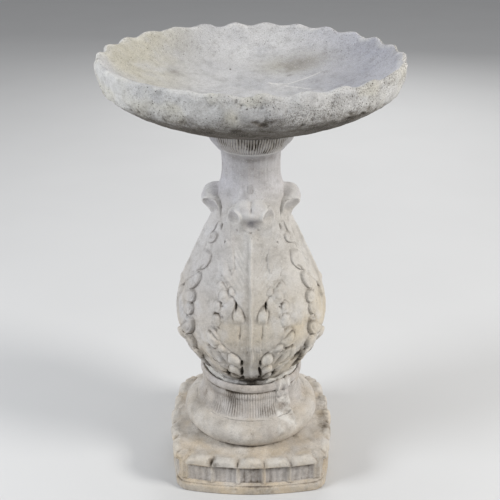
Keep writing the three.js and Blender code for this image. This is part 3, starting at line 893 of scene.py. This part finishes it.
def make_base():
    base = Turned(base_outline(), BASE_COLUMNS)
    r, z, angle = base.radius, base.z, base.angle
    quarter = math.pi / 2
    turn = angle - quarter * np.round(angle / quarter)
    index = np.arange(len(r))[:, None]
    below_torus = index < np.argmax(base.outline[:, 1] > 79)
    squareness = np.where(below_torus, smoothstep(110, 134, r), 0)
    radius = r * (1 + (bowed_square(angle) - 1) * squareness)
    lateral = np.abs(np.sin(turn)) * bowed_square(angle) * HALF_SIDE
    lobe = lateral / LOBE_PITCH - np.round(lateral / LOBE_PITCH)
    arch = np.sqrt(np.clip(1 - (2 * np.abs(lobe)) ** 2.2, 0, 1))
    on_side = smoothstep(BAND_END + 1.5, BAND_END - 2.5, lateral)
    corner = smoothstep(BAND_END - 2, BAND_END + 6, lateral)
    band = below_torus & (z > LEDGE_Z - 0.1)
    recess = (band & (np.abs(r - RECESS) < 0.4) & (z < VISOR_Z)) * 1.0
    panel = recess * smoothstep(0.45, 0.43, np.abs(lobe)) * on_side
    visor = smoothstep(VISOR_Z - 1.5, VISOR_Z + 0.5, z) * smoothstep(RECESS, HALF_SIDE - 3, r) * below_torus
    p = base.points()
    flute = np.abs(np.sin(math.pi * 4 * (lobe + 0.5) + 0.8 * noise(p, 30, 103)))
    flutes = 1.6 * (flute**0.8 - 1) * panel
    posts = 5.2 * smoothstep(0.425, 0.455, np.abs(lobe)) * recess * on_side
    ledge_lift = 1.2 * smoothstep(LEDGE_Z + 7, LEDGE_Z, z) * recess
    awning = visor * on_side * (4.8 * arch - 3.4)
    plateau = smoothstep(120, 140, r) * below_torus * (z > HOOD_Z)
    hood = smoothstep(131, 144, r) * below_torus * (z > HOOD_Z)
    crown = np.minimum(hood * on_side * 14 * (1 - arch), np.clip(z - HOOD_Z, 0, None))
    rim = 0.8 * bell(z - 72, 3.0) * visor * on_side * arch
    chunk = np.interp(z, [LEDGE_Z, 40, VISOR_Z, 66, 74], [5.5, 5.0, 4.0, -2.0, -7.0])
    chunk = chunk - (r - RECESS) * (z < 66)
    corner_fill = np.where(band & (z < 76), corner * chunk * smoothstep(RECESS - 18, RECESS, r), 0)
    ribs_zone = smoothstep(126, 131, z) * smoothstep(177, 174, z) * ~below_torus
    facing = 0.35 + 0.65 * smoothstep(-0.5, 0.5, np.cos(angle - FRONT + 0.3))
    rib = np.cos(NECK_RIBS * angle + 2.2 * rough(p * (1, 1, 0.5), 22, 101, 2))
    ribs = ribs_zone * 1.4 * rib * (0.75 + 0.6 * noise(p, 16, 102)) * facing
    astray = np.degrees(angle - FRONT) - 39 - 7 * noise(p, 28, 104)
    smear = smoothstep(11.5, 9.5, np.abs(astray)) * smoothstep(100, 118, z)
    smear = smear * ~below_torus * smoothstep(81, 85, r)
    base.radius = radius + flutes + posts + ledge_lift + awning + corner_fill + ribs * (1 - smear)
    base.z = z - crown + 5.0 * visor * on_side * (arch - 0.6) * smoothstep(73, 59, z)
    p = base.points()
    seat = smoothstep(80.5, 82, r)
    bottom = smoothstep(0, 2, z)
    bumps = 0.45 * rough(p, 14, 111, 3) + 0.8 * noise(p, 42, 114) + 1.2 * noise(p, 30, 105) * plateau
    pits = -1.8 * smoothstep(0.58, 0.85, noise(p, 5.5, 115)) * smoothstep(-0.1, 0.5, noise(p, 50, 116))
    daub = smear * (2.4 + 3.0 * rough(p, 9, 106, 4) + 2.5 * bell(z - 175, 5))
    base.push((bumps + pits + np.clip(daub, 0, 6)) * seat * bottom + rim)
    # Darker in the dips between the hoods.
    dips = hood * on_side * smoothstep(0.6, 0.2, arch)
    # Painted shadow where the torus meets the plateau and under the ring's bead.
    painted_shadow_at_torus_foot = bell(np.hypot(r - 110, z - 80), 4.5)
    painted_shadow_under_bead = bell(z - 176.5, 2.8) * ~below_torus * (1 - smear)
    # Painted shadow at the top of each recess under its hood, grime at its foot, and grime and painted shade
    # in the flute grooves.
    recess_shadow_and_dirt = 0.06 + 0.55 * smoothstep(VISOR_Z - 13, VISOR_Z - 4, z) + 0.35 * smoothstep(28, 22, z)
    recess_shadow_and_dirt = recess_shadow_and_dirt + 0.3 * smoothstep(0.5, 0.15, flute) * (0.5 + 0.5 * noise(p, 18, 108))
    line_mark = 0.45 * bell(z - 17, 1.4) * below_torus * (r > 140)
    dish = smoothstep(84, 81, r) * (z > 180) * (0.12 + 0.88 * bell(from_front(angle), 17))
    # Grime and painted shade in the neck's rib grooves.
    furrow_dirt_and_shade = ribs_zone * smoothstep(0.0, -0.8, rib) * facing * (1 - smear) * (0.7 + 0.6 * noise(p, 16, 102))
    grime = 0.36 * smoothstep(-0.2, 0.9, rough(p, 34, 117))
    grime = grime + 0.3 * plateau * smoothstep(-0.4, 0.6, rough(p, 13, 120))
    grime = grime + 0.15 * smear * smoothstep(0.0, 0.6, rough(p, 8, 109))
    base.mark("dirt_and_shade", 0.35 * dips + 0.55 * painted_shadow_at_torus_foot + 0.75 * painted_shadow_under_bead * facing + recess_shadow_and_dirt * panel
              + line_mark + dish + 0.32 * furrow_dirt_and_shade + grime)
    patches = smoothstep(-0.7, 0.8, rough(p, 30, 118))
    base.mark("warm", (0.35 + 0.6 * smoothstep(86, 60, z) * (1 - panel)) * (0.45 + 0.9 * patches))
    base.mark("shade", 0.1 + 0.14 * rough(p, 24, 113))
    base.mark("cool", 0.14 * panel + 0.12 * ribs_zone + 0.15 * smoothstep(176, 182, z))
    base.mark("pitted", 0.14 + 0.1 * noise(p, 40, 119))
    # Painted highlight on the crest of each hood.
    crest_highlight = hood * on_side * smoothstep(0.5, 0.8, arch)
    base.mark("pale", 0.5 * smear * smoothstep(-0.3, 0.5, rough(p, 9, 107)) + 0.3 * crest_highlight)
    look = stone("base_stone", colour(208, 203, 196), colour(181, 176, 170), colour(204, 188, 164),
                 colour(96, 86, 74), grain=0.9)
    return base.build("base_casting", "pedestal", "base", "base_stone", look)


# ---- Mortar ----

MORTAR_COLUMNS = 320


def make_mortar():
    bottom = size_of("mortar_bed")[0][2]
    top = bottom + 3.8
    hole = DOWEL_HOLE_RADIUS + 0.1
    squeezed_out = [(79.5, bottom), (80.2, 188.5), (82.8, 190), (85, 192.4), (84.4, 194.6), (82, 196),
                    (79, 196.4)]
    outline = join(
        line([(0, bottom + 0.1), (hole, bottom + 0.1)], 9),
        line([(hole, bottom), (79.5, bottom)], 8),
        curve(squeezed_out, 1.2),
        curve([(79, 196.4), (77.2, 194.5), (76.2, 192), (74, top)], 1.5),
        line([(74, top), (hole, top), (hole, top - 0.1), (0, top - 0.1)], 8),
    )
    mortar = Turned(outline, MORTAR_COLUMNS)
    r, z = mortar.radius, mortar.z
    p = mortar.points()
    squeeze = smoothstep(188, 192, z)
    mortar.radius = r + squeeze * (1.5 * rough(p * (1, 1, 0.3), 15, 121, 4) - 0.5)
    mortar.z = z + squeeze * 1.7 * rough(p, 11, 125, 3)
    turn = from_front(mortar.angle)
    clean = smoothstep(12, 26, turn) + 0.7 * smoothstep(-22, -40, turn)
    front = bell(turn - 2, 16)
    squeezed = squeeze * clean * (0.5 + 0.5 * noise(p, 20, 128))
    mortar.radius = mortar.radius + 1.5 * squeezed
    mortar.z = mortar.z + 5.5 * squeezed * smoothstep(190, 195, z)
    mortar.mark("dirt_and_shade", (0.12 + 0.7 * front + 0.3 * rough(p, 12, 127)) * (1 - clean))
    mortar.mark("warm", 0.2)
    mortar.mark("cool", 0.2 * (1 - clean))
    mortar.mark("pitted", 0.25)
    mortar.mark("pale", 0.5 * clean)
    look = stone("mortar", colour(206, 203, 196), colour(176, 174, 170), colour(196, 186, 166),
                 colour(84, 78, 70), grain=1.8)
    return mortar.build("mortar_squeeze", "pedestal", "mortar_bed", "mortar", look)


# ---- Studio ----

def make_floor():
    """A wide pale floor with a faint mottle."""
    half = 8.0  # metres
    mesh = bpy.data.meshes.new("floor")
    corners = [(-half, -half, 0), (half, -half, 0), (half, half, 0), (-half, half, 0)]
    mesh.from_pydata(corners, [], [(0, 1, 2, 3)])
    n = Nodes("floor")
    tone = n.mix(n.noise(400, 2), (0.6, 0.6, 0.595, 1), (0.64, 0.64, 0.635, 1))
    n.feed(n.shader.inputs["Base Color"], tone)
    n.feed(n.shader.inputs["Roughness"], 0.9)
    mesh.materials.append(n.material)
    floor = bpy.data.objects.new("floor", mesh)
    bpy.context.scene.collection.objects.link(floor)


def softbox(name, place, target, size, power, tint):
    """A round soft light at a place, turned to its target."""
    light = bpy.data.lights.new(name, "AREA")
    light.shape = "DISK"
    light.size = size
    light.energy = power
    light.color = tint
    lamp = bpy.data.objects.new(name, light)
    lamp.location = place
    lamp.rotation_euler = (Vector(target) - Vector(place)).to_track_quat("-Z", "Y").to_euler()
    bpy.context.scene.collection.objects.link(lamp)


def make_studio():
    middle = (0, 0, 0.45)
    softbox("key", (2.58, -1.15, 2.0), middle, 1.0, 82, (1.0, 0.985, 0.965))
    softbox("fill", (-2.48, -1.05, 1.8), middle, 1.2, 63, (0.93, 0.96, 1.0))
    softbox("top", (-0.3, 0.8, 2.9), (0, 0, 0.5), 1.6, 11, (1.0, 1.0, 1.0))
    softbox("back", (0.5, 2.6, 1.7), middle, 1.4, 24, (1.0, 1.0, 1.0))
    world = bpy.data.worlds.new("studio")
    world.use_nodes = True
    background = world.node_tree.nodes["Background"]
    background.inputs["Color"].default_value = (0.86, 0.87, 0.9, 1)
    background.inputs["Strength"].default_value = 0.34
    bpy.context.scene.world = world
    bpy.context.scene.view_settings.view_transform = "Standard"


def make_camera():
    """At the photograph's angle: in front, looking down on the bowl."""
    height = RIM_Z * MM
    away = 1.9 * height
    above = 1.441 * height
    down = math.radians(25.22)
    camera = bpy.data.cameras.new("camera")
    camera.sensor_width = 36
    camera.lens = 66.04
    camera.shift_x = -0.002
    eye = bpy.data.objects.new("camera", camera)
    eye.location = (0, -away, above)
    eye.rotation_euler = (math.pi / 2 - down, 0, 0)
    bpy.context.scene.collection.objects.link(eye)
    bpy.context.scene.camera = eye


def dress_steel():
    """Better finishes on the CAD dowel and pin, which keep their shapes."""
    looks = {
        "lower_dowel": steel("dowel_steel", colour(140, 140, 142), 0.25),
        "bowl_pin": steel("pin_steel", colour(178, 179, 182), 0.1),
    }
    for node, look in looks.items():
        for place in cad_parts[node].material_slots:
            place.material = look


make_bowl()
make_baluster()
make_base()
make_mortar()
dress_steel()
make_floor()
make_studio()
make_camera()
